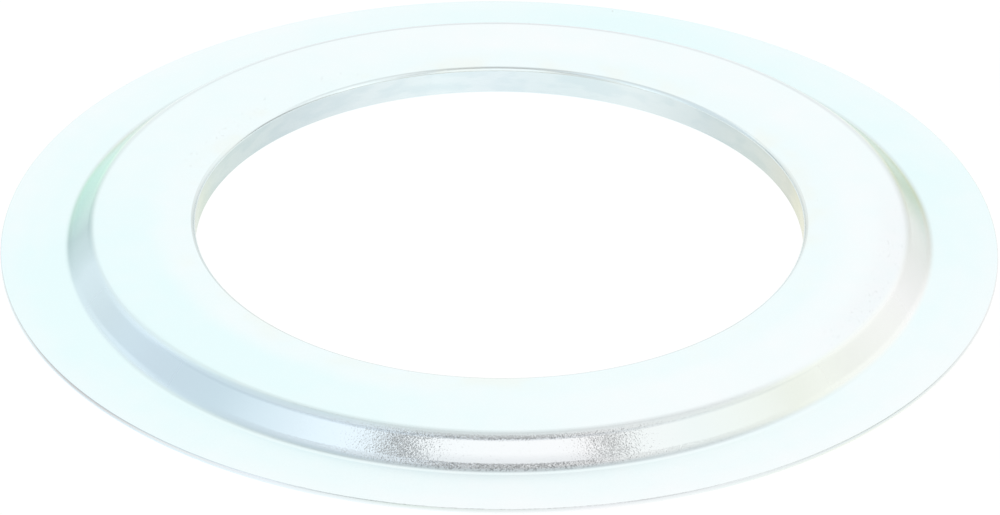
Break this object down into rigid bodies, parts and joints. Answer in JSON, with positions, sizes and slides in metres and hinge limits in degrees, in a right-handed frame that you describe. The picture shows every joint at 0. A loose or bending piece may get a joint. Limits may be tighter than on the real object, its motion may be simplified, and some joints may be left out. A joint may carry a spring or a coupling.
{
  "type": "wheel seal",
  "caption": "Pressed sheet steel wheel seal: flat outer flange, sloping step up to a flat raised ring, and a short collar turned down round the bore.",
  "frame": {"origin": "on the bore axis, in the plane of the flange's underside, which the ring lies on", "axes": "+Z along the bore axis, from the flange towards the raised ring; X and Y are any two directions across the ring, which is round"},
  "size_m": [0.205, 0.205, 0.0064],
  "materials": {
    "zinc_plate": "bright zinc plate with a clear blue passivate, satin sheet with a fine orange-peel grain where it is bent"
  },
  "bodies": {
    "root": {"seal_ring": "zinc_plate"}
  },
  "joints": []
}
